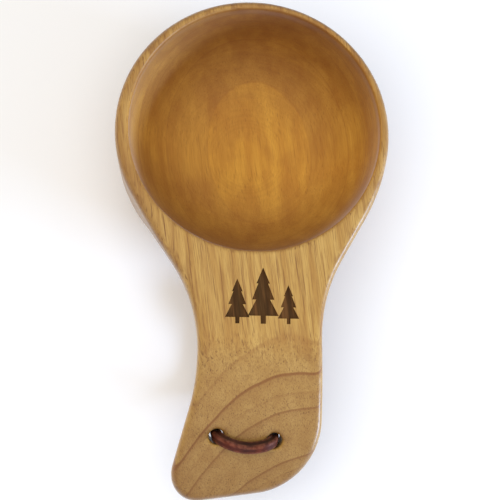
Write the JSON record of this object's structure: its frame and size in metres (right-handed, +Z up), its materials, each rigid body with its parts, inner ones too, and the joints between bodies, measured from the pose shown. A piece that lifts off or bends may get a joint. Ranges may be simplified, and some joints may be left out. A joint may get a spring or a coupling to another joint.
{
  "type": "kuksa wooden cup",
  "caption": "Shallow carved wooden drinking cup with a broad flat handle in one piece, and a leather lace looped through the handle's end.",
  "frame": {"origin": "centre of the flat foot, on the surface the cup stands on, on the axis of the bowl's outside", "axes": "+Z up, through the bowl's open mouth; the handle runs along -Y; +X is to the right when the handle points at the viewer"},
  "size_m": [0.0958, 0.1743, 0.046],
  "materials": {
    "varnished_wood": "satin varnish over pale, fine-pored hardwood, with a burned mark on the handle",
    "lace_leather": "dark red-brown waxed leather thong with slightly worn edges"
  },
  "bodies": {
    "root": {"cup_body": "varnished_wood", "carry_lace": "lace_leather", "lace_knot": "lace_leather"}
  },
  "joints": []
}
